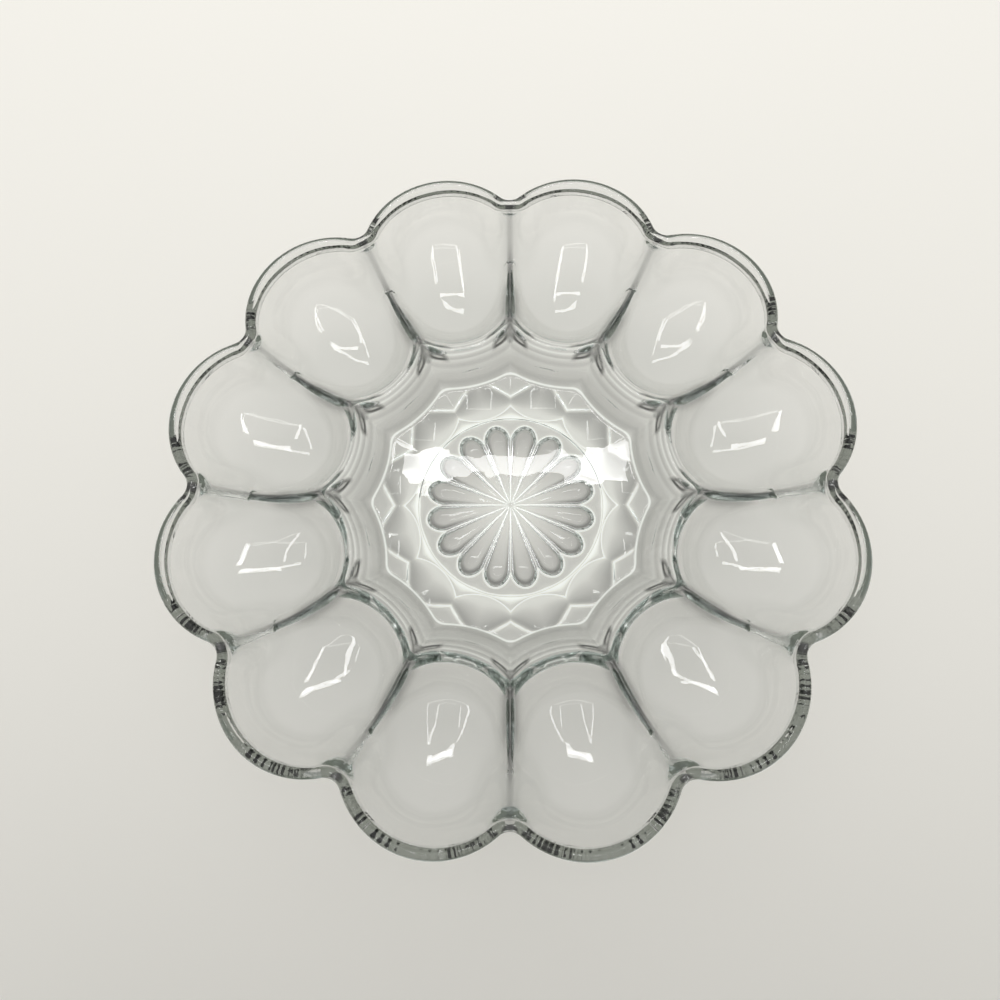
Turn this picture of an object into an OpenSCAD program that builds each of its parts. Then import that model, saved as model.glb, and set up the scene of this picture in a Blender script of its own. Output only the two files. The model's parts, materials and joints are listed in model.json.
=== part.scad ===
// Deviled egg platter in clear pressed glass, millimetres, +Z up.
// The origin is on the surface that the platter stands on, under its centre.
// The real platter is one casting. It is split here into its own regions, which meet
// face to face: one per egg cup, and the floor of the centre dish.

/* [Platter] */
// Width across two opposite scallops
overall_d = 250; // [244:1:256]
// Height from the table to the top of the rim
overall_h = 32; // [30:0.5:36]

/* [Scalloped rim] */
// How far a scallop's circle reaches past the ridge beside its cup
scallop_lap = 7.8; // [7:0.1:9]
// Thickness of the rim's wall
rim_wall = 3.5; // [3:0.1:4.5]
// Radius that rounds the notch between two scallops
notch_r = 5.5; // [4:0.5:7]

// Radius of the bead inside each notch
bead_r = 4.5; // [3.5:0.1:4.8]
// Distance of a bead's middle from the edge of its notch
bead_inset = 6.5; // [6:0.1:7]
// Drop from the rim to the top of a bead
bead_drop = 2.8; // [2.4:0.1:4]

/* [Egg cups] */
// Depth of a cup below the rim
cup_depth = 25; // [23:0.5:26]
// Thickness of a cup's wall
cup_wall = 4; // [3.5:0.1:4.5]

/* [Centre dish] */
// Distance of the dish wall's foot from the platter's axis, at the middle of a cup
dish_foot_r = 48.6; // [46:0.2:50]
// How far the dish wall leans out from its foot to its crest, at the middle of a cup
crest_run = 10.4; // [10:0.1:11]
// How much farther out the crest lies at a ridge than at the middle of a cup
crest_swell = 6.8; // [6:0.1:7.6]
// Width of the crest's flat top, at the middle of a cup
crest_w = 1.8; // [1.5:0.1:2.2]
// Drop from the rim to the crest of the dish wall
crest_drop = 13.6; // [13:0.1:15]
// Thickness of the dish wall, square to its slope
dish_wall = 4; // [3.5:0.1:4.5]
// Thickness of the dish's floor
floor_t = 7.5; // [6.5:0.1:8.5]

/* [Pressed star] */
// Number of petals in the star
petal_count = 16; // [12:1:16]
// Gap between the petals' round tips and the dish wall's foot
star_gap = 16.6; // [15:0.2:18]
// Distance from the platter's axis to a petal's point
petal_start = 1.5; // [1:0.25:3]
// Radius of a petal's round end on the underside
petal_end_r = 4.8; // [4.2:0.1:4.9]
// Depth of a petal at its round end
petal_depth = 1.5; // [1:0.1:2]
// Gap between the round recess that holds the star and the dish wall's foot
recess_gap = 14; // [13.2:0.1:14.4]
// Depth of that recess
recess_depth = 0.8; // [0.4:0.1:1.2]

/* [Thumbprint and kite band] */
// How far past the dish wall's foot the middle of a thumbprint lies
thumb_past = 4.5; // [3.4:0.1:5.4]
// Gap between a thumbprint's inner edge and the dish wall's foot
thumb_gap = 13.1; // [11.6:0.1:13.2]
// Depth of a thumbprint
thumb_depth = 2; // [1.5:0.1:2.4]
// Gap between the place where the kites leave the underside and the dish wall's foot
kite_gap = 5.5; // [3.6:0.1:7.6]
// Slope of a kite, in degrees
kite_lean = 21; // [15:1:24]

/* [Hidden] */
cup_count = 12;

// The cups are numbered anticlockwise, and cup 1 is the first one past +X.
cup_names = [for (i = [1:cup_count]) str("egg_cup_", i < 10 ? "0" : "", i)];

cup_step = 360 / cup_count;
cup_half = cup_step / 2;
overrun = overall_h / 16;

// Rim: the scallops stand on a ring, and a round softens each notch between two of them.
rim_r = overall_d / 2;
scallop_r = (rim_r * sin(cup_half) + scallop_lap) / (1 + sin(cup_half));
ring_r = rim_r - scallop_r;
rim_top_r = rim_wall / 2;
rim_seat_z = overall_h - rim_top_r;
scallop_in_r = scallop_r - rim_wall;
ridge_gap = ring_r * sin(cup_half);
ridge_mid = ring_r * cos(cup_half);
round_at = ridge_mid + sqrt(pow(scallop_r + notch_r, 2) - pow(ridge_gap, 2));
notch_bite = rim_wall / 64;
bead_ring_r = round_at - notch_r - bead_inset;
bead_z = overall_h - bead_drop - bead_r;

// Dish wall: one cone for each cup, through the crest's places at a cup and at a ridge.
crest_r = dish_foot_r + crest_run;
crest_ridge_r = crest_r + crest_swell;
crest_z = overall_h - crest_drop;
panel_ring_r = (pow(crest_ridge_r, 2) - pow(crest_r, 2)) / (2 * (crest_ridge_r * cos(cup_half) - crest_r));
panel_top_r = panel_ring_r - crest_r;
panel_foot_r = panel_ring_r - dish_foot_r;
panel_lean = atan((panel_foot_r - panel_top_r) / (crest_z - floor_t));
panel_w = dish_wall / cos(panel_lean);
base_r = dish_foot_r + 2 * dish_wall;

// Cup: a ball through the crest, the cup's lowest point and the rim's inner edge.
bowl_floor_z = overall_h - cup_depth;
bowl_seat_z = rim_seat_z - rim_top_r;
in_rise = crest_z - bowl_floor_z;
out_rise = bowl_seat_z - bowl_floor_z;
bowl_run = rim_r - rim_wall - crest_r - crest_w;
rise_gap = out_rise / in_rise - 1;
in_run = (sqrt(pow(bowl_run, 2) + rise_gap * (pow(bowl_run, 2) + pow(out_rise, 2) - in_rise * out_rise))
          - bowl_run) / rise_gap;
bowl_r = (pow(in_run, 2) + pow(in_rise, 2)) / (2 * in_rise);
bowl_ring_r = crest_r + crest_w + in_run;
bowl_z = bowl_floor_z + bowl_r;
shell_r = bowl_r + cup_wall;
crest_land_r = bowl_ring_r * cos(cup_half);

// Petal: a ball and the cone that touches it, lying point inwards.
star_r = dish_foot_r - star_gap;
recess_r = dish_foot_r - recess_gap;
petal_ball_r = (pow(petal_end_r, 2) + pow(petal_depth, 2)) / (2 * petal_depth);
petal_run = star_r - petal_end_r - petal_start;
petal_drop = petal_ball_r - petal_depth;
petal_dip = atan(petal_drop / petal_run);
petal_long = sqrt(pow(petal_run, 2) + pow(petal_drop, 2));
petal_side = sqrt(pow(petal_long, 2) - pow(petal_ball_r, 2));
petal_open = asin(petal_ball_r / petal_long);

// Thumbprint: a shallow piece of a large ball.
thumb_ring_r = dish_foot_r + thumb_past;
thumb_reach = thumb_past + thumb_gap;
thumb_ball_r = (pow(thumb_reach, 2) + pow(thumb_depth, 2)) / (2 * thumb_depth);
kite_r = dish_foot_r - kite_gap;

$fn = 96;
ball_fn = 144;

function polar(r, a) = [r * cos(a), r * sin(a)];

// Plan of the slice that holds one cup, between two ridges.
module cup_slice() {
    polygon([[0, 0], polar(round_at, cup_half), [overall_d, overall_d],
             [overall_d, -overall_d], polar(round_at, -cup_half)]);
}

// Plan of the half slice beside one ridge, as far out as the middle of the notch's round.
module ridge_side(side) {
    polygon([[0, 0], [ring_r, 0], polar(round_at, side * cup_half)]);
}

// Body of one slice: the scallop, and its half of the round at each notch.
module scallop_body() {
    intersection() {
        translate([ring_r, 0, 0]) cylinder(h = rim_seat_z, r = scallop_r);
        linear_extrude(height = rim_seat_z) cup_slice();
    }
    for (side = [-1, 1])
        difference() {
            linear_extrude(height = rim_seat_z) ridge_side(side);
            translate(concat(polar(round_at, side * cup_half), -overrun))
                cylinder(h = overall_h + overrun, r = notch_r + notch_bite);
        }
}

// Half-round on top of the rim's wall, along one scallop.
module rim_band() {
    translate([0, 0, rim_seat_z])
        intersection() {
            translate([ring_r, 0, 0])
                rotate_extrude()
                    intersection() {
                        translate([scallop_in_r + rim_top_r, 0]) circle(r = rim_top_r);
                        translate([scallop_in_r, 0]) square([rim_wall, rim_wall]);
                    }
            translate([0, 0, -overrun]) linear_extrude(height = overall_h) cup_slice();
            translate([ring_r, -overall_d / 2, -overrun]) cube([overall_d, overall_d, overall_h]);
        }
}

// All that may stand on the cup's side of the centre dish.
module dish_limit() {
    translate([panel_ring_r, 0, 0]) {
        cylinder(h = floor_t, r = panel_foot_r);
        translate([0, 0, floor_t])
            cylinder(h = crest_z - floor_t, r1 = panel_foot_r, r2 = panel_top_r);
        translate([0, 0, crest_z]) cylinder(h = crest_drop + overrun, r = panel_top_r);
        translate([0, -overall_d / 2, 0]) cube([overall_d, overall_d, overall_h + overrun]);
    }
}

// Open space under one cup and behind the dish wall.
module under_cup() {
    difference() {
        translate([panel_ring_r, 0, 0]) {
            translate([0, 0, -overrun]) cylinder(h = floor_t + overrun, r = overall_d);
            translate([0, 0, floor_t])
                cylinder(h = crest_z - floor_t, r1 = panel_foot_r - panel_w, r2 = panel_top_r - panel_w);
            translate([0, -overall_d / 2, -overrun])
                cube([overall_d, overall_d, overall_h + 2 * overrun]);
        }
        translate([bowl_ring_r, 0, bowl_z]) sphere(r = shell_r, $fn = ball_fn);
    }
}

// Hollow of one cup: a ball, kept inside the rim's wall at its outer end.
module cup_hollow() {
    intersection() {
        translate([bowl_ring_r, 0, bowl_z]) sphere(r = bowl_r, $fn = ball_fn);
        union() {
            translate([ring_r, 0, 0]) cylinder(h = 2 * overall_h, r = scallop_in_r);
            translate([0, -overall_d / 2, 0]) cube([ring_r, overall_d, 2 * overall_h]);
        }
    }
}

// The half of a notch's bead that belongs to the cup on this side of the ridge.
module half_bead(side) {
    intersection() {
        translate(concat(polar(bead_ring_r, side * cup_half), bead_z))
            rotate([90, 0, 0]) sphere(r = bead_r);
        linear_extrude(height = overall_h) ridge_side(side);
    }
}

// One egg cup with its stretch of rim, its half ridges and its bulge of the dish wall.
module egg_cup(i) {
    color([0.8, 0.88, 0.85], 0.6)
        rotate([0, 0, (i + 1 / 2) * cup_step]) {
            difference() {
                intersection() {
                    union() {
                        scallop_body();
                        rim_band();
                    }
                    dish_limit();
                }
                under_cup();
                cup_hollow();
                translate([0, 0, crest_z]) cylinder(h = overall_h, r = crest_land_r);
            }
            for (side = [-1, 1]) half_bead(side);
        }
}

// One petal of the star, cut upwards from the recess.
module petal() {
    translate([petal_start, 0, recess_depth])
        rotate([0, 90 + petal_dip, 0])
            rotate_extrude() {
                polygon([[0, 0], petal_side * [sin(petal_open), cos(petal_open)], [0, petal_long]]);
                intersection() {
                    translate([0, petal_long]) circle(r = petal_ball_r, $fn = ball_fn);
                    translate([0, petal_long - petal_ball_r]) square([petal_ball_r, 2 * petal_ball_r]);
                }
            }
}

// Floor of the centre dish, smooth above, with the pressed pattern below.
module centre_dish() {
    color([0.84, 0.9, 0.87], 0.6)
        difference() {
            cylinder(h = floor_t, r = base_r);
            translate([0, 0, -overrun]) cylinder(h = overrun + recess_depth, r = recess_r);
            for (i = [0:petal_count - 1])
                rotate([0, 0, (i + 1 / 2) * 360 / petal_count]) petal();
            for (i = [0:cup_count - 1])
                rotate([0, 0, (i + 1 / 2) * cup_step])
                    translate([thumb_ring_r, 0, thumb_depth - thumb_ball_r])
                        sphere(r = thumb_ball_r, $fn = 2 * ball_fn);
            for (i = [0:cup_count - 1])
                rotate([0, 0, i * cup_step])
                    translate([kite_r, 0, 0])
                        rotate([0, -kite_lean, 0])
                            translate([0, -base_r, -floor_t])
                                cube([base_r, 2 * base_r, floor_t]);
        }
}

for (i = [0:cup_count - 1])
    egg_cup(i);
centre_dish();
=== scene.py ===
# Deviled egg platter in clear pressed glass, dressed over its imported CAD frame.
# The shapes are worked out in millimetres from the table up and put into the scene in metres.
import json
import math

import bmesh
import bpy
import numpy as np
from mathutils import Euler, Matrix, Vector

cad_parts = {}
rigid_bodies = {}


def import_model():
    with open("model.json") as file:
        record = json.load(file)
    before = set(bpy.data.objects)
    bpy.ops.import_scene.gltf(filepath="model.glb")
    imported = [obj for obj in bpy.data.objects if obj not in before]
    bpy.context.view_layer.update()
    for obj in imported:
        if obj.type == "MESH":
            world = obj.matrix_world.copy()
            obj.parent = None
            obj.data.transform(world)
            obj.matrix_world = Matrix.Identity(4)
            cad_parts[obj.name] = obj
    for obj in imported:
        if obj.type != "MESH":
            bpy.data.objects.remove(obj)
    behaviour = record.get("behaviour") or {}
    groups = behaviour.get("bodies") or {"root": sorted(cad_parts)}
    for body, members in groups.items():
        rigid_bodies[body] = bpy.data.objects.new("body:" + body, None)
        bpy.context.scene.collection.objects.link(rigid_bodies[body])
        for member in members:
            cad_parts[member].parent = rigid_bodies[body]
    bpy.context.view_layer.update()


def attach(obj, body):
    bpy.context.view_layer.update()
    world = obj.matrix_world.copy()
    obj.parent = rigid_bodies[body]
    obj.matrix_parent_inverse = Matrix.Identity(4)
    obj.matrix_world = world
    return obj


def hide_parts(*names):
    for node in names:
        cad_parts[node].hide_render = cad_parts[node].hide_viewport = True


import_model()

mm = 0.001
scene = bpy.context.scene
collection = scene.collection

# The camera stands where the photograph was taken from, in millimetres and degrees.
view = {
    "place": (3.407, -83.847, 316.648),
    "turn": (15.3111, 1.3091, 0.1574),
    "lens": 30.93,
    "sensor": 36.0,
    "nearest": 10.0,
    "farthest": 20000.0,
}
cameraData = bpy.data.cameras.new("viewCamera")
cameraData.lens = view["lens"]
cameraData.sensor_width = view["sensor"]
cameraData.clip_start = view["nearest"] * mm
cameraData.clip_end = view["farthest"] * mm
camera = bpy.data.objects.new("viewCamera", cameraData)
camera.location = Vector(view["place"]) * mm
camera.rotation_euler = Euler([math.radians(a) for a in view["turn"]], "XYZ")
collection.objects.link(camera)
scene.camera = camera
print("camera placed")

# Sizes of the platter in millimetres. They are the CAD model's, but for a thicker wall round the dish.
platter = {
    "cups": 12,
    "width": 250.0,
    "height": 32.0,
    "scallopRadius": 31.9,
    "rimWall": 3.5,
    "notchRadius": 5.5,
    "cupDepth": 25.0,
    "bowlMiddle": 75.9,       # where a cup is deepest, from the platter's axis
    "cupWall": 4.0,
    "leastWall": 2.6,
    "crest": 59.0,            # the crest between a cup and the dish, from the platter's axis
    "crestDrop": 13.6,        # from the rim down to that crest
    "foot": 48.6,             # where the dish's wall meets its floor, from the platter's axis
    "dishWall": 4.8,
    "floor": 7.5,
    "baseEdge": 56.0,
}
# How widely the ridges and creases are rounded, and between which distances from the axis that grows.
rounding = {
    "ridge": 0.9, "ridgeOuter": 3.0, "ridgeFrom": 101.0, "ridgeTo": 110.0,
    "groove": 0.5, "grooveOuter": 2.0, "grooveFrom": 103.0, "grooveTo": 111.0,
    "valley": 3.0, "crest": 7.0, "foot": 1.1, "lip": 2.0, "rim": 1.2, "base": 2.0, "under": 1.5,
}
# Distances from the axis where the pressed pattern ends, where the dish's wall ends and where the rim begins.
zones = {"pattern": 62.0, "inner": 80.0, "outer": 90.0}
outOfReach = {"above": 99.0, "below": -9.0}      # heights that leave a form out where two are joined

halfSector = math.pi / platter["cups"]
ringRadius = platter["width"] / 2 - platter["scallopRadius"]
rimRadius = platter["rimWall"] / 2
ridgeGap = ringRadius * math.sin(halfSector)
roundCentre = ringRadius * math.cos(halfSector) + math.sqrt(
    (platter["scallopRadius"] + platter["notchRadius"]) ** 2 - ridgeGap**2
)
roundAngle = math.atan2(
    roundCentre * math.sin(halfSector), roundCentre * math.cos(halfSector) - ringRadius
)
backAngle = math.pi * 0.75                       # past it the notch is out of a point's reach
crestHeight = platter["height"] - platter["crestDrop"]
footQ = ringRadius - platter["foot"]             # a Q is a distance from the centre of a cup's scallop
crestQ = ringRadius - platter["crest"]
wallSlope = (crestHeight - platter["floor"]) / (footQ - crestQ)
wallThick = platter["dishWall"] * math.sqrt(1 + 1 / wallSlope**2)


def smoothMin(a, b, k):
    h = np.maximum(k - np.abs(a - b), 0) / k
    return np.minimum(a, b) - h * h * k / 4


def smoothMax(a, b, k):
    return -smoothMin(-a, -b, k)


def smoothStep(a, b, x):
    t = np.clip((x - a) / (b - a), 0, 1)
    return t * t * (3 - 2 * t)


def stretch(x, fadeIn, fadeOut):
    # 1 between two places, with a soft start and a soft end.
    return smoothStep(*fadeIn, x) * (1 - smoothStep(*fadeOut, x))


def blend(a, b, share):
    return a + (b - a) * share


def hump(distance, width, power=2):
    # 1 in the middle and nearly nothing past the width; a higher power gives it a flatter top.
    return np.exp(-((distance / width) ** power))


def besideRidge(x, y):
    # Distance from the ridge's middle plane. A cup's axis lies along X, half a sector away.
    return x * math.sin(halfSector) - y * math.cos(halfSector)


def alongRidge(x, y):
    return x * math.cos(halfSector) + y * math.sin(halfSector)


def awayFromRidge(x, y, half):
    # Moves a point off the ridge's middle plane, which rounds the ridge over this half width.
    d = besideRidge(x, y)
    rounded = np.where(d < half, d * d / (2 * half) + half / 2, d)
    push = rounded - d
    return x + push * math.sin(halfSector), y - push * math.cos(halfSector)


def valleyQ(x, y):
    # Distance from the centre of a cup's scallop, with the corner at the ridge rounded.
    x, y = awayFromRidge(x, y, rounding["valley"])
    return np.hypot(x - ringRadius, y)


def circleSide(centre, radius, phi, side=-1):
    # Distance from the axis of a circle's near or far side, at an angle from the line to its centre.
    across = centre * np.sin(phi)
    return centre * np.cos(phi) + side * np.sqrt(np.maximum(radius * radius - across**2, 0))


def offsetRim(inset, phi):
    # Distance from the axis of the line that runs inside the scalloped outline by the inset.
    scallop = circleSide(ringRadius, platter["scallopRadius"] - inset, phi, 1)
    angle = np.arctan2(scallop * np.sin(phi), scallop * np.cos(phi) - ringRadius)
    notch = circleSide(roundCentre, platter["notchRadius"] + inset, halfSector - phi)
    return np.where(angle > roundAngle, notch, scallop)


def rimInset(x, y):
    # Distance inwards from the scalloped outline.
    fromScallop = platter["scallopRadius"] - np.hypot(x - ringRadius, y)
    notchX, notchY = roundCentre * math.cos(halfSector), roundCentre * math.sin(halfSector)
    fromNotch = np.hypot(x - notchX, y - notchY) - platter["notchRadius"]
    angle = np.arctan2(y, x - ringRadius)
    return np.where((angle > roundAngle) & (angle < backAngle), fromNotch, fromScallop)


# How the floor of a cup curves along the platter's radius and across it.
bowl = {"alongRadius": 74.5, "alongThird": -2.0e-5, "acrossRadius": 42.8}


def bowlFloor(x, y):
    u = x - platter["bowlMiddle"]
    return (
        platter["height"] - platter["cupDepth"]
        + u * u / (2 * bowl["alongRadius"]) + bowl["alongThird"] * np.maximum(u, 0) ** 3
        + y * y / (2 * bowl["acrossRadius"])
    )


def bowlSteepness(x, y):
    # Upright thickness of a wall that is 1 thick square to the floor's curve.
    u = x - platter["bowlMiddle"]
    gx = u / bowl["alongRadius"] + 3 * bowl["alongThird"] * np.maximum(u, 0) ** 2
    gy = y / bowl["acrossRadius"]
    return np.sqrt(1 + gx * gx + gy * gy)


# How much a cup's sides rise beyond that curve at its edges, and over which width.
sides = {
    "crest": 10.8, "crestWidth": 13.0, "crestPower": 1.8, "crestEdge": 31.6, "crestUnder": 0.95,
    "ridge": 12.0, "ridgePower": 3, "ridgeUnder": 0.35,
    "ridgeAt": (60.0, 66.0, 75.0, 85.0, 94.0, 104.0), "ridgeRise": (9.0, 8.4, 5.4, 2.9, 1.4, 0.5),
    "saddle": 8.0, "saddleAt": (84.0, 90.0, 98.0, 105.0, 112.0), "saddleRise": (0.2, 1.2, 4.6, 9.0, 11.0),
    "rim": 9.2, "rimWidth": 14.0, "rimPower": 3, "rimUnder": 0.9,
    "pastEdge": 1.25,         # the share to which the crest and the rim rise beyond their edges
    "joinPower": 2.5,         # how sharply one rise takes over from the next
    "softSteps": (-3.0, -1.5, 0.0, 1.5, 3.0),
}


def softTable(r, at, rise):
    # Reads a table of heights with its corners rounded off.
    steps = sides["softSteps"]
    return sum(np.interp(r + step, at, rise) for step in steps) / len(steps)


def sideRise(x, y, d, crestShare=1.0, ridgeShare=1.0, rimShare=1.0):
    # Rise of a cup's sides above its floor's curve: at the crest, the ridge, the saddle and the rim.
    r, most = np.hypot(x, y), sides["pastEdge"]
    toCrest = sides["crestEdge"] - np.hypot(x - ringRadius, y)
    climb = np.clip(1 - toCrest / sides["crestWidth"], 0, most)
    crest = np.where(x < ringRadius, sides["crest"] * climb ** sides["crestPower"], 0)
    climb = np.clip(1 - d / sides["ridge"], 0, 1)
    ridge = softTable(r, sides["ridgeAt"], sides["ridgeRise"]) * climb ** sides["ridgePower"]
    saddle = softTable(r, sides["saddleAt"], sides["saddleRise"]) * hump(d, sides["saddle"])
    climb = np.clip(1 - (rimInset(x, y) - platter["rimWall"]) / sides["rimWidth"], 0, most)
    rim = np.where(r > zones["outer"], sides["rim"] * climb ** sides["rimPower"], 0)
    rises = (crestShare * crest, ridgeShare * ridge, ridgeShare * saddle, rimShare * rim)
    return sum(rise ** sides["joinPower"] for rise in rises) ** (1 / sides["joinPower"])


# The lip inside the rim: how far below the top a hollow ends, and the slope that leads up to the edge.
lip = {"hollowDrop": 3.2, "drop": 1.15, "slope": 2.6, "inset": 3.394}
# The thick knot where two crests meet a ridge: its height, its middle line and its length.
knot = {"height": 2.2, "at": 33.6, "width": 1.5, "power": 4, "start": 2.0, "reach": 9.5}
# The bead on the ridge inside each notch.
bead = {"radius": 3.4, "at": 107.5, "height": 25.6, "blend": 0.5}


def topHeight(x, y):
    # Height of the upper surface at a point of the half sector beside a cup's axis.
    r = np.hypot(x, y)
    spread = smoothStep(rounding["ridgeFrom"], rounding["ridgeTo"], r)
    bx, by = awayFromRidge(x, y, blend(rounding["ridge"], rounding["ridgeOuter"], spread))
    hollow = bowlFloor(bx, by) + sideRise(bx, by, np.maximum(besideRidge(bx, by), 0))
    low = smoothMin(hollow, platter["height"] - lip["hollowDrop"], rounding["lip"])
    hollow = np.where(r > zones["outer"], low, hollow)
    q = valleyQ(x, y)
    wall = platter["floor"] + (footQ - q) * wallSlope
    top = smoothMin(hollow, np.where(r < zones["inner"], wall, outOfReach["above"]), rounding["crest"])
    lump = hump(q - knot["at"], knot["width"], knot["power"])
    top = top + knot["height"] * lump * (1 - smoothStep(knot["start"], knot["reach"], besideRidge(x, y)))
    top = smoothMax(top, platter["floor"] + 0 * r, rounding["foot"])
    edge = platter["height"] - lip["drop"] - lip["slope"] * (rimInset(x, y) - lip["inset"])
    top = np.where(r > zones["outer"], smoothMax(top, edge, rounding["rim"]), top)
    beadX, beadY = bead["at"] * math.cos(halfSector), bead["at"] * math.sin(halfSector)
    away2 = (x - beadX) ** 2 + (y - beadY) ** 2
    ball = bead["height"] + np.sqrt(np.maximum(bead["radius"] ** 2 - away2, 0))
    return np.where(away2 < bead["radius"] ** 2, smoothMax(top, ball, bead["blend"]), top)


# The pressed band round the star: a thumbprint at each cup, with a kite at each ridge beyond a slanting line.
thumbprint = {"middle": 53.1, "reach": 17.6, "depth": 2.0, "flank": 0.75}
kite = {"start": 43.9, "spread": 61.5, "lift": 0.45, "rise": 0.3, "fall": 0.12}
kiteSpread = math.radians(kite["spread"])


def kiteGap(x, y):
    # Distance beyond the slanting line between a thumbprint and a kite.
    along = alongRidge(x, y) - kite["start"]
    return along * math.sin(kiteSpread) - besideRidge(x, y) * math.cos(kiteSpread)


def kiteLine(phi):
    # Distance of that line from the platter's axis.
    aside = halfSector - phi
    lean = np.cos(aside) * math.sin(kiteSpread) - np.sin(aside) * math.cos(kiteSpread)
    return kite["start"] * math.sin(kiteSpread) / lean


def kiteFloor(x, y):
    return kite["lift"] + (alongRidge(x, y) - kite["start"]) * kite["rise"] - besideRidge(x, y) * kite["fall"]


def thumbStart(phi):
    # Distance of the thumbprint's inner edge from the platter's axis.
    return circleSide(thumbprint["middle"], thumbprint["reach"], phi)


def thumbDip(x, y):
    deep = thumbprint["depth"]
    ball = (thumbprint["reach"] ** 2 + deep**2) / (2 * deep)
    away2 = (x - thumbprint["middle"]) ** 2 + y * y
    return np.sqrt(np.maximum(ball * ball - away2, 0)) - (ball - deep)


def patternHeight(x, y):
    # How high the underside stands above the table in the pressed band outside the star.
    dip = thumbDip(x, y)
    gap = kiteGap(x, y)
    beyond = np.maximum(dip - thumbprint["flank"] * gap, kiteFloor(x, y))
    return np.maximum(np.where(gap > 0, beyond, dip), 0)


# The outer wall under the rim: how far down it runs, its draft and the slope of its lower edge.
skirt = {"bottom": 19.5, "draft": 0.2, "lower": 1.5, "reach": 7.0, "power": 1.5}


def underHeight(x, y):
    # Height of the underside at a point.
    r = np.hypot(x, y)
    spread = smoothStep(rounding["grooveFrom"], rounding["grooveTo"], r)
    ux, uy = awayFromRidge(x, y, blend(rounding["groove"], rounding["grooveOuter"], spread))
    shares = (sides["crestUnder"], sides["ridgeUnder"], sides["rimUnder"])
    shell = bowlFloor(ux, uy) + sideRise(ux, uy, np.maximum(besideRidge(ux, uy), 0), *shares)
    shell = shell - platter["cupWall"] * bowlSteepness(ux, uy)
    back = platter["floor"] + (footQ - wallThick - np.hypot(ux - ringRadius, uy)) * wallSlope
    pressed = np.where(r < zones["pattern"], patternHeight(x, y), outOfReach["below"])
    base = smoothMax(pressed, back, rounding["base"])
    under = smoothMin(shell, np.where(r < zones["outer"], base, outOfReach["above"]), rounding["under"])
    inset = np.maximum(rimInset(x, y), 0)
    lowered = under - skirt["lower"] * hump(inset, skirt["reach"], skirt["power"])
    under = np.where(r > zones["outer"], lowered, under)
    return np.minimum(under, topHeight(x, y) - platter["leastWall"])


# Painted light and shade: shares of the light that the parts of the glass pass on, as a painted tint in the
# glass and a painted shadow on the table, and how much its painted lines and marks add or take.
# Above 1 the glass glows in a painted bright line.
shade = {
    "plain": 0.98, "crescent": 0.1, "scoop": 0.42, "kite": 0.88, "wall": 0.86, "cup": 0.94,
    "ridge": 0.5, "ridgeOuter": 0.84, "rim": 0.95, "rimLeast": 0.93,
    "petal": 0.88, "petalFlank": 0.52, "petalEdge": 1.35, "recess": 0.96, "recessMiddle": 0.92,
    "line": 0.44, "paintedFootLine": 0.36, "footShadow": 0.15,
    "paintedLeaf": 0.82, "streak": 0.75, "edge": 0.75, "core": 0.45,
}
# Painted shade in each thumbprint's scoop: its painted bright crescent in shares of its length, and painted
# bright lines at its ends.
scoopShade = {
    "crescentAt": 0.15, "crescentWidth": 0.16, "power": 1.7, "shortest": 0.1,
    "innerLine": 0.3, "outerLine": 0.75, "outerShare": 1.2,
}
# The painted dark band under each ridge: where it starts and fades, its half width, and where the wall's
# painted shade changes.
bandShade = {
    "ridgeFade": (82.0, 92.0), "wallFade": (57.0, 63.0), "from": 64.0, "width": 2.0,
    "footFade": (-0.2, 0.4), "wellPastFoot": 9.0, "rimFrom": 112.0,
}


def underShade(x, y):
    # Painted light and shade on the underside at a point: it tints the glass, glows above 1 and sets its
    # shadow on the table.
    r, phi = np.hypot(x, y), np.arctan2(y, x)
    gap, begin = kiteGap(x, y), thumbStart(phi)
    across = np.clip((r - begin) / np.maximum(kiteLine(phi) - begin, scoopShade["shortest"]), 0, 1)
    crescent = shade["crescent"] * hump(across - scoopShade["crescentAt"], scoopShade["crescentWidth"])
    scoop = shade["plain"] + crescent - shade["scoop"] * across ** scoopShade["power"]
    light = np.where(gap > 0, shade["kite"], scoop)
    outerLine = scoopShade["outerShare"] * hump(gap, scoopShade["outerLine"])
    light = light + shade["line"] * (hump(r - begin, scoopShade["innerLine"]) + outerLine)
    dark = blend(shade["ridge"], shade["ridgeOuter"], smoothStep(*bandShade["ridgeFade"], r))
    wall = blend(shade["wall"], shade["cup"], smoothStep(*bandShade["wallFade"], r))
    band = blend(wall, dark, hump(besideRidge(x, y), bandShade["width"]))
    outer = np.where(r < bandShade["from"], wall, band)
    pastFoot = np.where(r < zones["inner"], footQ - valleyQ(x, y), bandShade["wellPastFoot"])
    light = blend(light, outer, smoothStep(*bandShade["footFade"], pastFoot))
    return np.where(r > bandShade["rimFrom"], np.maximum(light, shade["rimLeast"]), light)


# Painted dark leaf shapes beside each ridge's inner end, each with a painted bright streak along its middle.
paintedLeaf = {
    "shapes": (               # from the ridge, from the scallop's centre, length, width, depth
        (3.6, 35.4, 2.8, 0.9, 1.0),
        (5.6, 31.9, 3.6, 0.55, 0.8),
    ),
    "slant": 0.1, "power": 6,
    "streakWidthShare": 0.28, "streakLengthShare": 0.6, "streakPower": 4,
}
# Painted fine bright and dark lines along each crest: distances from the scallop's centre, half width and
# strength.
paintedCrestLines = {
    "at": (31.8, 33.3, 34.9, 36.7, 38.6), "width": 0.26, "bright": 0.2,
    "dark": 0.14, "darkWidth": 0.338, "aside": 0.7,
}
# The painted shadow inside the foot line, and the painted dark edges and painted bright core along each
# ridge.
footShadow = {"at": 1.7, "width": 0.9}
paintedRidgeEdge = {
    "from": 62.0, "fadeIn": (64.0, 67.0), "fadeOut": (84.0, 99.0), "least": 0.35,
    "width": 1.05, "power": 4,
}
paintedRidgeCore = {"fadeIn": (64.0, 68.0), "fadeOut": (78.0, 84.0), "width": 0.26}


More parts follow.
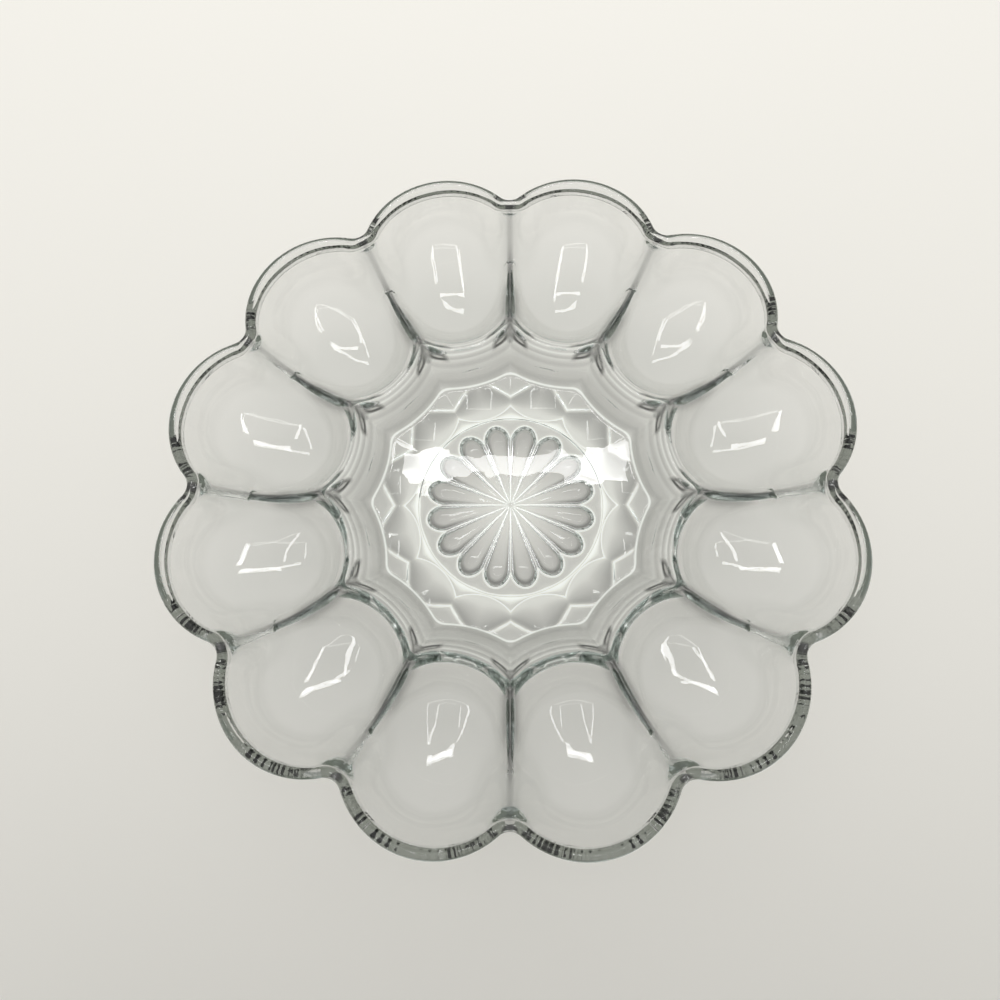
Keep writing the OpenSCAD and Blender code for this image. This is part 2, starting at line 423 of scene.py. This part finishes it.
def topShade(x, y):
    # The same for the upper surface, with painted shade where thick glass beside the ridges' inner ends looks
    # dark.
    q, d = np.hypot(x - ringRadius, y), besideRidge(x, y)
    inner = np.hypot(x, y) < zones["inner"]
    light = 1.0 + 0 * x
    for fromRidge, fromRing, length, width, deep in paintedLeaf["shapes"]:
        along = d - fromRidge
        bend = q - fromRing - paintedLeaf["slant"] * along
        dark = hump(bend, width, paintedLeaf["power"]) * hump(along, length, paintedLeaf["power"])
        light = light - shade["paintedLeaf"] * deep * dark
        streak = hump(bend, paintedLeaf["streakWidthShare"] * width)
        streak = streak * hump(along, paintedLeaf["streakLengthShare"] * length, paintedLeaf["streakPower"])
        light = light + shade["streak"] * deep * streak
    for line in paintedCrestLines["at"]:
        beside = line - paintedCrestLines["aside"]
        light = light + paintedCrestLines["bright"] * hump(q - line, paintedCrestLines["width"]) * inner
        light = light - paintedCrestLines["dark"] * hump(q - beside, paintedCrestLines["darkWidth"]) * inner
    light = light - shade["footShadow"] * hump(q - footQ + footShadow["at"], footShadow["width"]) * inner
    core = stretch(x, paintedRidgeCore["fadeIn"], paintedRidgeCore["fadeOut"]) * hump(d, paintedRidgeCore["width"])
    light = light + shade["core"] * core
    strength = blend(paintedRidgeEdge["least"], 1, stretch(x, paintedRidgeEdge["fadeIn"], paintedRidgeEdge["fadeOut"]))
    edge = strength * hump(d, paintedRidgeEdge["width"], paintedRidgeEdge["power"])
    return light - shade["edge"] * edge * (x > paintedRidgeEdge["from"])


# Rows of corners over the top and back along the underside, closest where the glass bends most.
# An inset is measured from the scalloped outline, and shares lead from one line of corners to the next.
cupMesh = {
    "columns": 20,
    "pack": 0.72,             # how much closer the columns stand towards the ridge
    "packPower": 2.2,
    "floorAt": (12.0, 28.0, 40.0),
    "wallQ": (46.4, 45.5, 45.0, 44.7, 44.5, 44.3, 44.0, 43.5, 42.6, 41.4, 40.1, 38.9, 38.1, 37.6, 37.1, 36.5,
              36.1, 35.8, 35.5, 35.2, 34.9, 34.6, 34.3, 33.9, 33.5, 33.1, 32.7, 32.3, 31.8, 31.2),
    "hollow": {"fromQ": 30.4, "toInset": 7.0, "rows": 36},
    "lipInsets": (6.3, 5.7, 5.2, 4.7, 4.3, 3.9, 3.6, 3.45),
    "edgeAngles": (20, 180), "edgeRows": 11,       # degrees, round the rim's edge
    "skirtShares": (0.1, 0.25, 0.5, 0.75, 0.93, 1.0),
    "underRimInsets": (1.15, 1.6, 2.2, 3.0, 4.0, 5.2, 6.5),
    "shell": {"fromInset": 7.8, "toQ": 29.6, "rows": 30},
    "backQ": (30.4, 31.2, 31.9, 32.5, 33.1, 33.7, 34.3, 34.9, 35.5, 36.2, 37.1),
    "baseShares": (0.15, 0.4, 0.7, 1.0), "baseGap": 0.3, "baseReach": 3.0,
    "kiteShares": (0.15, 0.35, 0.55, 0.75, 0.92, 1.0),
    "flankShares": (0.08, 0.3, 0.55, 0.8, 1.0), "flankGap": 0.08, "halvings": 40,
    "thumbShares": (0.03, 0.08, 0.15, 0.24, 0.34, 0.45, 0.56, 0.67, 0.78, 0.87, 0.94, 0.97, 0.99, 1.0),
    "landShares": (0.1, 0.4, 1.0),
}


def columnAngles():
    # Angles from a cup's axis to the ridge, packed closer towards the ridge.
    left = 1 - np.linspace(0, 1, cupMesh["columns"] + 1)
    pack = cupMesh["pack"]
    return halfSector * (1 - (left * (1 - pack) + pack * left ** cupMesh["packPower"]))


def flankEnds(phi, change, edge):
    # The far end of the thumbprint's flank, where the kite's floor takes over, is found by halving.
    low, high, gap = change + 0, edge + 0, cupMesh["flankGap"]
    for _ in range(cupMesh["halvings"]):
        midway = (low + high) / 2
        x, y = midway * np.cos(phi), midway * np.sin(phi)
        above = kiteFloor(x, y) > thumbDip(x, y) - thumbprint["flank"] * kiteGap(x, y)
        high = np.where(above, midway, high)
        low = np.where(above, low, midway)
    return np.clip((low + high) / 2, change + gap, np.maximum(edge - cupMesh["baseGap"], change + 2 * gap))


def halfCupMesh():
    # Half of one cup's sector: the upper surface, the rim's round edge and the underside.
    packed = columnAngles()
    rows = []

    # Each row carries its corners and the painted light and shade of each.
    def addRow(r, z, phi, light=1.0):
        rows.append((r * np.cos(phi), r * np.sin(phi), z + 0 * r, light + 0 * r))

    def topRow(r):
        x, y = r * np.cos(packed), r * np.sin(packed)
        rows.append((x, y, topHeight(x, y), topShade(x, y)))

    def underRow(r):
        x, y = r * np.cos(packed), r * np.sin(packed)
        rows.append((x, y, underHeight(x, y), underShade(x, y)))

    def rowsBetween(addOne, start, end, shares):
        for s in shares:
            addOne(start + s * (end - start))

    def arc(q):
        return circleSide(ringRadius, q, packed)

    # The dish's floor, its wall, the hollow of the cup and the lip.
    for r in cupMesh["floorAt"]:
        topRow(r + 0 * packed)
    for q in cupMesh["wallQ"]:
        topRow(arc(q))
    hollow = cupMesh["hollow"]
    lipStart = offsetRim(hollow["toInset"], packed)
    rowsBetween(topRow, arc(hollow["fromQ"]), lipStart, np.linspace(0, 1, hollow["rows"]))
    for inset in cupMesh["lipInsets"]:
        topRow(offsetRim(inset, packed))
    # The rim's round edge and the skirt below it.
    seat = platter["height"] - rimRadius
    for a in np.radians(np.linspace(*cupMesh["edgeAngles"], cupMesh["edgeRows"])):
        addRow(offsetRim(rimRadius * (1 + math.cos(a)), packed), seat + rimRadius * math.sin(a), packed)
    draft = skirt["draft"] * (seat - skirt["bottom"])
    r = offsetRim(draft, packed)
    edge = underHeight(r * np.cos(packed), r * np.sin(packed))
    for s in cupMesh["skirtShares"]:
        addRow(offsetRim(draft * s, packed), seat * (1 - s) + edge * s, packed, shade["rim"])
    # The underside of the cup and the back of the dish's wall.
    for inset in cupMesh["underRimInsets"]:
        underRow(offsetRim(inset, packed))
    shell = cupMesh["shell"]
    shellStart = offsetRim(shell["fromInset"], packed)
    rowsBetween(underRow, shellStart, arc(shell["toQ"]), np.linspace(0, 1, shell["rows"]))
    for q in cupMesh["backQ"]:
        underRow(arc(q))
    # The pressed band: kite, flank and thumbprint, and the land up to the star.
    base = platter["baseEdge"] + 0 * packed
    last = np.minimum(arc(cupMesh["backQ"][-1]) - cupMesh["baseGap"], base + cupMesh["baseReach"])
    change, begin = kiteLine(packed), thumbStart(packed)
    flankEnd = flankEnds(packed, change, base)
    rowsBetween(underRow, last, base, cupMesh["baseShares"])
    rowsBetween(underRow, base, flankEnd, cupMesh["kiteShares"])
    rowsBetween(underRow, flankEnd, change, cupMesh["flankShares"])
    rowsBetween(underRow, change, begin, cupMesh["thumbShares"])
    even = np.linspace(0, halfSector, cupMesh["columns"] + 1)
    # The land's rows carry painted shade, and its last row a painted bright line.
    for s in cupMesh["landShares"]:
        light = shade["plain"] + (shade["line"] if s == 1.0 else 0)
        addRow(blend(begin, star["seam"], s), 0.0, blend(packed, even, s), light)

    corners = np.concatenate([np.stack(row[:3], axis=1) for row in rows])
    lights = np.concatenate([row[3] for row in rows])
    width = cupMesh["columns"] + 1
    faces = []
    for i in range(len(rows) - 1):
        for j in range(width - 1):
            a = i * width + j
            faces.append((a, a + width, a + width + 1, a + 1))
    middle = len(corners)
    corners = np.vstack([corners, [[0, 0, platter["floor"]]]])
    for j in range(width - 1):
        faces.append((middle, j, j + 1))
    return corners, faces, np.append(lights, 1.0)


# The star pressed into the middle of the underside, inside a round recess.
star = {
    "petals": 16,
    "tip": 32.0,
    "roundFrom": 25.2,
    "depth": 2.2,
    "depthPower": 0.8,        # how soon a petal deepens from the middle
    "sharpness": 4.2,
    "recess": 34.4,
    "recessEdge": 34.9,
    "recessDepth": 0.8,
    "seam": 35.1,             # where its mesh meets the cups'
}
# Painted shade on a petal: painted lighter towards the star's middle. Its painted dark flank and bright edge
# lie at shares of its half width.
petalShade = {
    "middle": 0.2, "fullAt": 25.0, "edgePower": 12,
    "flankAt": 0.8, "flankWidth": 0.15, "flankFullAt": 24.0,
}
# Lines of corners across each petal, and rings from its edge out to the recess.
starMesh = {
    "across": 9,
    "pack": 1.35,
    "linesAt": (1.5, 4, 6.5, 9, 11.5, 14, 16.5, 19, 21.2, 23.2),
    "recessShares": (0.06, 0.3, 0.65, 0.93, 1.0),
}


def petalDepth(s):
    return star["depth"] * max(1 - s ** star["sharpness"], 0)


def petalLight(s, r):
    # Painted shade on a petal: darkest on its flank, with a painted bright line along its edge.
    full = min(r / petalShade["flankFullAt"], 1) ** 2
    flank = shade["petalFlank"] * hump(s - petalShade["flankAt"], petalShade["flankWidth"]) * full
    light = shade["petal"] + petalShade["middle"] * (1 - r / petalShade["fullAt"])
    return light + (shade["petalEdge"] - shade["petal"]) * s ** petalShade["edgePower"] - flank


def halfPetalMesh():
    # Half of one petal of the star, its share of the recess and the fine ring round it.
    half = math.pi / star["petals"]
    spokes = int(round(half / (halfSector / cupMesh["columns"])))      # so that they meet the cups' columns
    across = starMesh["across"]
    base = star["recessDepth"]
    widest = star["roundFrom"] * math.tan(half)
    corners, faces, lights = [], [], []

    def add(x, y, z, light):
        corners.append((x, y, z))
        lights.append(light)
        return len(corners) - 1

    shares = [1 - (1 - k / across) ** starMesh["pack"] for k in range(across + 1)]
    grid = []
    for r in (*starMesh["linesAt"], star["roundFrom"]):
        line = []
        for s in shares:
            deep = (r / star["roundFrom"]) ** star["depthPower"] * petalDepth(s)
            line.append(add(r, s * r * math.tan(half), base + deep, petalLight(s, r)))
        grid.append(line)
    centre = add(0, 0, base, 1.0)
    for j in range(across):
        faces.append((centre, grid[0][j + 1], grid[0][j]))
    for i in range(len(grid) - 1):
        for j in range(across):
            faces.append((grid[i][j], grid[i][j + 1], grid[i + 1][j + 1], grid[i + 1][j]))
    # The round end: spokes from the middle of its widest line.
    length = star["tip"] - star["roundFrom"]
    pole = grid[-1][0]
    before = grid[-1][1:]
    rim = [before[-1]]
    for k in range(1, spokes + 1):
        a = math.pi / 2 * (1 - k / spokes)
        line = []
        for s in shares[1:]:
            x, y = star["roundFrom"] + length * s * math.cos(a), widest * s * math.sin(a)
            line.append(add(x, y, base + petalDepth(s), petalLight(s, petalShade["fullAt"])))
        faces.append((pole, before[0], line[0]))
        for j in range(across - 1):
            faces.append((before[j], before[j + 1], line[j + 1], line[j]))
        before = line
        rim.append(line[-1])
    # From the petal's edge out to the recess, its step and the seam with the cups' part.
    # Each ring carries painted shade, with painted bright lines by the petal's edge, at the recess's rim and
    # at the seam.
    bright = shade["plain"] + shade["line"]
    recessLights = (bright, shade["recess"], shade["recessMiddle"], shade["plain"], bright)
    steps = [("recess", s, base, light) for s, light in zip(starMesh["recessShares"], recessLights)]
    steps += [("recessEdge", 1.0, 0.0, shade["plain"]), ("seam", 1.0, 0.0, bright)]
    edge = [np.array(corners[i][:2]) for i in rim]
    before = rim
    for name, s, z, light in steps:
        line = []
        for k in range(spokes + 1):
            a = half * (1 - k / spokes)
            goal = star[name] * np.array([math.cos(a), math.sin(a)])
            p = blend(edge[k], goal, s) if name == "recess" else goal
            line.append(add(p[0], p[1], z, light))
        for k in range(spokes):
            faces.append((before[k], line[k], line[k + 1], before[k + 1]))
        before = line
    return np.array(corners), faces, np.array(lights)


# The painted bright foot line fades out between these two distances from the foot, and the underside has
# none.
paintedFootLine = {"start": 0.05, "end": 0.6, "noLine": 30.0, "belowFloor": 0.05}


def meshObject(name, corners, faces, lights):
    # Two values ride on each corner: its painted light and shade, and how far it is from the painted bright
    # foot line.
    data = bpy.data.meshes.new(name)
    data.from_pydata((np.asarray(corners) * mm).tolist(), [], faces)
    data.update()
    under = corners[:, 2] < platter["floor"] - paintedFootLine["belowFloor"]
    gaps = np.where(under, paintedFootLine["noLine"], valleyQ(corners[:, 0], corners[:, 1]) - footQ)
    for key, values in (("paintedLight", lights), ("footGap", gaps)):
        data.attributes.new(key, "FLOAT", "POINT").data.foreach_set("value", values.astype(np.float32))
    obj = bpy.data.objects.new(name, data)
    collection.objects.link(obj)
    return obj


def addNode(tree, kind, settings=None, links=None):
    # Adds a node, sets its properties and sockets, and links its inputs.
    node = tree.nodes.new(kind)
    for key, value in (settings or {}).items():
        if isinstance(key, str) and hasattr(node, key):
            setattr(node, key, value)
        else:
            node.inputs[key].default_value = value
    for key, source in (links or {}).items():
        tree.links.new(source, node.inputs[key])
    return node


def aroundAxisTree():
    # Mirrors half a sector and repeats the whole one round the platter's axis.
    tree = bpy.data.node_groups.new("aroundAxis", "GeometryNodeTree")
    face = tree.interface
    face.new_socket("Half sector", in_out="INPUT", socket_type="NodeSocketGeometry")
    count = face.new_socket("Sectors", in_out="INPUT", socket_type="NodeSocketInt")
    start = face.new_socket("First angle", in_out="INPUT", socket_type="NodeSocketFloat")
    merge = face.new_socket("Merge distance", in_out="INPUT", socket_type="NodeSocketFloat")
    coating = face.new_socket("Glass", in_out="INPUT", socket_type="NodeSocketMaterial")
    face.new_socket("Ring", in_out="OUTPUT", socket_type="NodeSocketGeometry")
    given = addNode(tree, "NodeGroupInput").outputs
    other = addNode(tree, "GeometryNodeTransform", {"Scale": (1, -1, 1)}, {"Geometry": given["Half sector"]})
    turned = addNode(tree, "GeometryNodeFlipFaces", None, {"Mesh": other.outputs["Geometry"]})
    both = addNode(tree, "GeometryNodeJoinGeometry")
    tree.links.new(given["Half sector"], both.inputs[0])
    tree.links.new(turned.outputs["Mesh"], both.inputs[0])
    seeds = addNode(tree, "GeometryNodeMeshLine", {"Offset": (0, 0, 0)}, {"Count": given["Sectors"]})
    index = addNode(tree, "GeometryNodeInputIndex")
    step = addNode(tree, "ShaderNodeMath", {"operation": "DIVIDE", 0: 2 * math.pi}, {1: given["Sectors"]})
    angle = addNode(tree, "ShaderNodeMath", {"operation": "MULTIPLY_ADD"},
                    {0: index.outputs[0], 1: step.outputs[0], 2: given["First angle"]})
    spin = addNode(tree, "ShaderNodeCombineXYZ", None, {"Z": angle.outputs[0]})
    ring = addNode(tree, "GeometryNodeInstanceOnPoints", None,
                   {"Points": seeds.outputs["Mesh"], "Instance": both.outputs[0],
                    "Rotation": spin.outputs[0]})
    real = addNode(tree, "GeometryNodeRealizeInstances", None, {"Geometry": ring.outputs["Instances"]})
    joined = addNode(tree, "GeometryNodeMergeByDistance", None,
                     {"Geometry": real.outputs["Geometry"], "Distance": given["Merge distance"]})
    coat = addNode(tree, "GeometryNodeSetMaterial", None,
                   {"Geometry": joined.outputs["Geometry"], "Material": given["Glass"]})
    result = addNode(tree, "NodeGroupOutput")
    tree.links.new(coat.outputs["Geometry"], result.inputs[0])
    return tree, {"sectors": count.identifier, "first": start.identifier,
                  "merge": merge.identifier, "glass": coating.identifier}


# How close two corners are merged, in millimetres: inside a ring, and then along the seam of the two rings.
mergeWithin = {"ring": 0.002, "seam": 0.003}


def repeatAround(obj, sectors, first):
    # The whole ring of a half sector, as a plain mesh.
    modifier = obj.modifiers.new("aroundAxis", "NODES")
    modifier.node_group = ringTree
    modifier[ringInputs["sectors"]] = sectors
    modifier[ringInputs["first"]] = first
    modifier[ringInputs["merge"]] = mergeWithin["ring"] * mm
    modifier[ringInputs["glass"]] = glass
    graph = bpy.context.evaluated_depsgraph_get()
    whole = bpy.data.meshes.new_from_object(obj.evaluated_get(graph))
    obj.modifiers.remove(modifier)
    bpy.data.objects.remove(obj)
    return whole


def linear(hexColour):
    # An sRGB hex value as linear red, green, blue.
    values = [int(hexColour[i:i + 2], 16) / 255 for i in (1, 3, 5)]
    return [v / 12.92 if v <= 0.04045 else ((v + 0.055) / 1.055) ** 2.4 for v in values] + [1.0]


# Pressed soda-lime glass: clear, sharp reflections, and a faint green in thick edges from iron.
glassLook = {
    "ior": 1.52,
    "absorb": "#869E92",      # the cast of thick glass, and how soon it shows
    "density": 14.0,
    "swell": 12.5,            # from one swell of the surface to the next, in millimetres
    "swellHeight": 0.1,
    "swellRoughness": 0.4,
    "paintedGlow": "#F8FFFA",    # the tint of the bright lines
    # The glow is painted light, standing in for light trapped inside past this many turns.
    "glow": "#86897F",        # what trapped light looks like after this many turns
    "turns": 8.0,
}


def pressedGlass():
    material = bpy.data.materials.new("pressedSodaLimeGlass")
    material.use_nodes = True
    tree = material.node_tree
    tree.nodes.clear()
    # Fire-polished surfaces are never quite flat, which bends the lamps' reflections a little.
    place = addNode(tree, "ShaderNodeTexCoord")
    swell = addNode(tree, "ShaderNodeTexNoise",
                    {"Scale": 1 / (glassLook["swell"] * mm), "Detail": 1.0,
                     "Roughness": glassLook["swellRoughness"]},
                    {"Vector": place.outputs["Object"]})
    wavy = addNode(tree, "ShaderNodeBump", {"Strength": 1.0, "Distance": glassLook["swellHeight"] * mm},
                   {"Height": swell.outputs["Fac"]})
    clear = addNode(tree, "ShaderNodeBsdfPrincipled",
                    {"Roughness": 0.0, "IOR": glassLook["ior"], "Transmission Weight": 1.0,
                     "Emission Color": linear(glassLook["paintedGlow"])},
                    {"Normal": wavy.outputs[0]})
    # Painted light and shade: a painted tint in the glass, painted glowing lines and a painted shadow on the
    # table.
    paintedLight = addNode(tree, "ShaderNodeAttribute", {"attribute_name": "paintedLight"})
    footGap = addNode(tree, "ShaderNodeAttribute", {"attribute_name": "footGap"})
    away = addNode(tree, "ShaderNodeMath", {"operation": "ABSOLUTE"}, {0: footGap.outputs["Fac"]})
    bright = addNode(tree, "ShaderNodeMapRange",
                     {"interpolation_type": "SMOOTHSTEP", "From Min": paintedFootLine["start"],
                      "From Max": paintedFootLine["end"], "To Min": shade["paintedFootLine"], "To Max": 0.0},
                     {"Value": away.outputs[0]})
    light = addNode(tree, "ShaderNodeMath", {"operation": "ADD"},
                    {0: paintedLight.outputs["Fac"], 1: bright.outputs[0]})
    passed = addNode(tree, "ShaderNodeMath", {"operation": "MINIMUM", 1: 1.0}, {0: light.outputs[0]})
    squared = addNode(tree, "ShaderNodeMath", {"operation": "POWER", 1: 2.0}, {0: passed.outputs[0]})
    # Painted light above 1 makes the glass glow as a painted bright line.
    paintedGlow = addNode(tree, "ShaderNodeMath", {"operation": "SUBTRACT"},
                       {0: light.outputs[0], 1: passed.outputs[0]})
    tree.links.new(squared.outputs[0], clear.inputs["Base Color"])
    tree.links.new(paintedGlow.outputs[0], clear.inputs["Emission Strength"])
    through = addNode(tree, "ShaderNodeBsdfTransparent", None, {"Color": passed.outputs[0]})
    # Light that reaches the table, straight or scattered, comes through once, as if the glass weren't bent.
    path = addNode(tree, "ShaderNodeLightPath")
    plain = addNode(tree, "ShaderNodeMath", {"operation": "MAXIMUM"},
                    {0: path.outputs["Is Shadow Ray"], 1: path.outputs["Is Diffuse Ray"]})
    # Light that has turned round inside the glass many times is replaced by a painted, even grey-green glow.
    glow = addNode(tree, "ShaderNodeEmission", {"Color": linear(glassLook["glow"]), "Strength": 1.0})
    trapped = addNode(tree, "ShaderNodeMath", {"operation": "GREATER_THAN", 1: glassLook["turns"]},
                      {0: path.outputs["Ray Depth"]})
    inside = addNode(tree, "ShaderNodeMixShader", None,
                     {0: trapped.outputs[0], 1: clear.outputs[0], 2: glow.outputs[0]})
    mix = addNode(tree, "ShaderNodeMixShader", None,
                  {0: plain.outputs[0], 1: inside.outputs[0], 2: through.outputs[0]})
    green = addNode(tree, "ShaderNodeVolumeAbsorption",
                    {"Color": linear(glassLook["absorb"]), "Density": glassLook["density"]})
    addNode(tree, "ShaderNodeOutputMaterial", None, {"Surface": mix.outputs[0], "Volume": green.outputs[0]})
    return material


glass = pressedGlass()
ringTree, ringInputs = aroundAxisTree()
cupRing = repeatAround(meshObject("halfCup", *halfCupMesh()), platter["cups"], halfSector)
print("cup ring:", len(cupRing.vertices), "corners")
starDisc = repeatAround(meshObject("halfPetal", *halfPetalMesh()), star["petals"], math.pi / star["petals"])
print("star:", len(starDisc.vertices), "corners")

bm = bmesh.new()
for part in (cupRing, starDisc):
    bm.from_mesh(part)
    bpy.data.meshes.remove(part)
bmesh.ops.remove_doubles(bm, verts=bm.verts, dist=mergeWithin["seam"] * mm)
bmesh.ops.recalc_face_normals(bm, faces=bm.faces)
openEdges = sum(1 for e in bm.edges if len(e.link_faces) != 2)
millilitres = bm.calc_volume(signed=True) * 1e6      # from cubic metres
body = bpy.data.meshes.new("platterGlass")
bm.to_mesh(body)
bm.free()
body.materials.append(glass)
for polygon in body.polygons:
    polygon.use_smooth = True
platterGlass = bpy.data.objects.new("platterGlass", body)
collection.objects.link(platterGlass)
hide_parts(*["egg_cup_%02d" % (i + 1) for i in range(platter["cups"])], "centre_dish")
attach(platterGlass, "root")
print("glass body:", len(body.polygons), "faces,", openEdges, "open edges,",
      round(millilitres, 1), "ml of glass")


def levelSheet(name, size, place, material, colour, roughness):
    # A flat sheet that faces up, with its own plain material.
    data = bpy.data.meshes.new(name)
    x, y = size[0] / 2, size[1] / 2
    data.from_pydata([(-x, -y, 0), (x, -y, 0), (x, y, 0), (-x, y, 0)], [], [(0, 1, 2, 3)])
    data.update()
    surface = bpy.data.materials.new(material)
    surface.use_nodes = True
    plain = surface.node_tree.nodes["Principled BSDF"]
    plain.inputs["Base Color"].default_value = linear(colour)
    plain.inputs["Roughness"].default_value = roughness
    data.materials.append(surface)
    sheet = bpy.data.objects.new(name, data)
    sheet.location = place
    collection.objects.link(sheet)
    return sheet


# A pale table top just under the platter, of mat laminate: it shows soft shade and no sharp reflections.
table = {"size": (12.0, 12.0), "place": (0, 0, -0.0002), "colour": "#EEECE6", "roughness": 0.7}
tableTop = levelSheet("tableTop", table["size"], table["place"], "matLaminate",
                      table["colour"], table["roughness"])
print("table laid")

# Soft light from a frame of lamps over the far side of the table, in metres and watts.
lamps = {
    "height": 1.15, "far": 0.378, "near": -0.098, "half": 0.2, "bar": 0.04, "power": 0.5,
    "farPowerShare": 0.8, "endPowerShare": 0.35, "nearPowerShare": 0.2, "sidePowerShare": 0.45,
    "endPlaceShare": 0.8, "endLengthShare": 0.4, "endBarShare": 1.4, "thinBarShare": 0.6,
    "sidePlaceShare": 1.14, "sideShiftShare": 0.13, "sideLengthShare": 0.74,
}


def addLamp(name, place, size, power):
    data = bpy.data.lights.new(name, "AREA")
    data.shape = "RECTANGLE"
    data.size, data.size_y = size
    data.energy = power
    lamp = bpy.data.objects.new(name, data)
    lamp.location = place
    collection.objects.link(lamp)
    return lamp


def frameLamp(name, x, y, length, bar, share):
    # One bar of the frame; length runs across the table and bar away from the camera.
    return addLamp(name, (x, y, lamps["height"]), (length, bar), lamps["power"] * share)


half, bar, thinBar = lamps["half"], lamps["bar"], lamps["bar"] * lamps["thinBarShare"]
depth = lamps["far"] - lamps["near"]
sideMiddle = (lamps["far"] + lamps["near"]) / 2 - lamps["sideShiftShare"] * depth
frameLamp("lampFar", 0, lamps["far"], 2 * half, bar, lamps["farPowerShare"])
for side, x in (("Left", -half), ("Right", half)):
    frameLamp("lampEnd" + side, x * lamps["endPlaceShare"], lamps["far"],
              half * lamps["endLengthShare"], bar * lamps["endBarShare"], lamps["endPowerShare"])
# A reflector board on the far side lights the table's far half more, and isn't seen in the glass.
reflector = {"place": (0, 1.1, 0.8), "size": (1.0, 0.5), "power": 4.4}
board = addLamp("reflectorBoard", reflector["place"], reflector["size"], reflector["power"])
board.rotation_euler = (-math.atan2(*reflector["place"][1:]), 0, 0)
board.visible_glossy = False
board.visible_transmission = False
frameLamp("lampNear", 0, lamps["near"], 2 * half, thinBar, lamps["nearPowerShare"])
for side, x in (("Left", -half), ("Right", half)):
    frameLamp("lampSide" + side, x * lamps["sidePlaceShare"], sideMiddle,
              thinBar, depth * lamps["sideLengthShare"], lamps["sidePowerShare"])

# A black card over the near side keeps some of the room's light off the table, as whoever looks down does.
shadeCard = {"size": (0.6, 0.3), "place": (0, -0.31, 0.29), "colour": "#101010", "roughness": 0.5}
card = levelSheet("shadeCard", shadeCard["size"], shadeCard["place"], "blackCard",
                  shadeCard["colour"], shadeCard["roughness"])
card.visible_camera = False
card.visible_glossy = False
card.visible_transmission = False
print("lamps, board and card set")

# The room from the table's level up: a pale haze at the far end, darker walls and a bright ceiling.
room = {
    "bands": ((0.0, "#EFEEEA"), (0.1, "#EAE9E5"), (0.15, "#A5AAA7"), (0.3, "#878A88"), (0.6, "#F9F8F6")),
    "strength": 1.0,
}
world = bpy.data.worlds.new("room")
scene.world = world
world.use_nodes = True
roomTree = world.node_tree
roomTree.nodes.clear()
where = addNode(roomTree, "ShaderNodeTexCoord")
level = addNode(roomTree, "ShaderNodeSeparateXYZ", None, {0: where.outputs["Generated"]})
ramp = addNode(roomTree, "ShaderNodeValToRGB", None, {0: level.outputs["Z"]})
stops = ramp.color_ramp.elements
for k, (height, colour) in enumerate(room["bands"]):
    band = stops[k] if k < 2 else stops.new(height)      # a new ramp has two stops
    band.position = height
    band.color = linear(colour)
air = addNode(roomTree, "ShaderNodeBackground", {"Strength": room["strength"]}, {"Color": ramp.outputs[0]})
addNode(roomTree, "ShaderNodeOutputWorld", None, {"Surface": air.outputs[0]})
scene.view_settings.view_transform = "Standard"

# Light turns round many times inside the thick rim before it leaves it.
lightTurns = {"glossy": 16, "transmission": 20, "all": 20}
scene.cycles.glossy_bounces = lightTurns["glossy"]
scene.cycles.transmission_bounces = lightTurns["transmission"]
scene.cycles.max_bounces = lightTurns["all"]
print("room set")
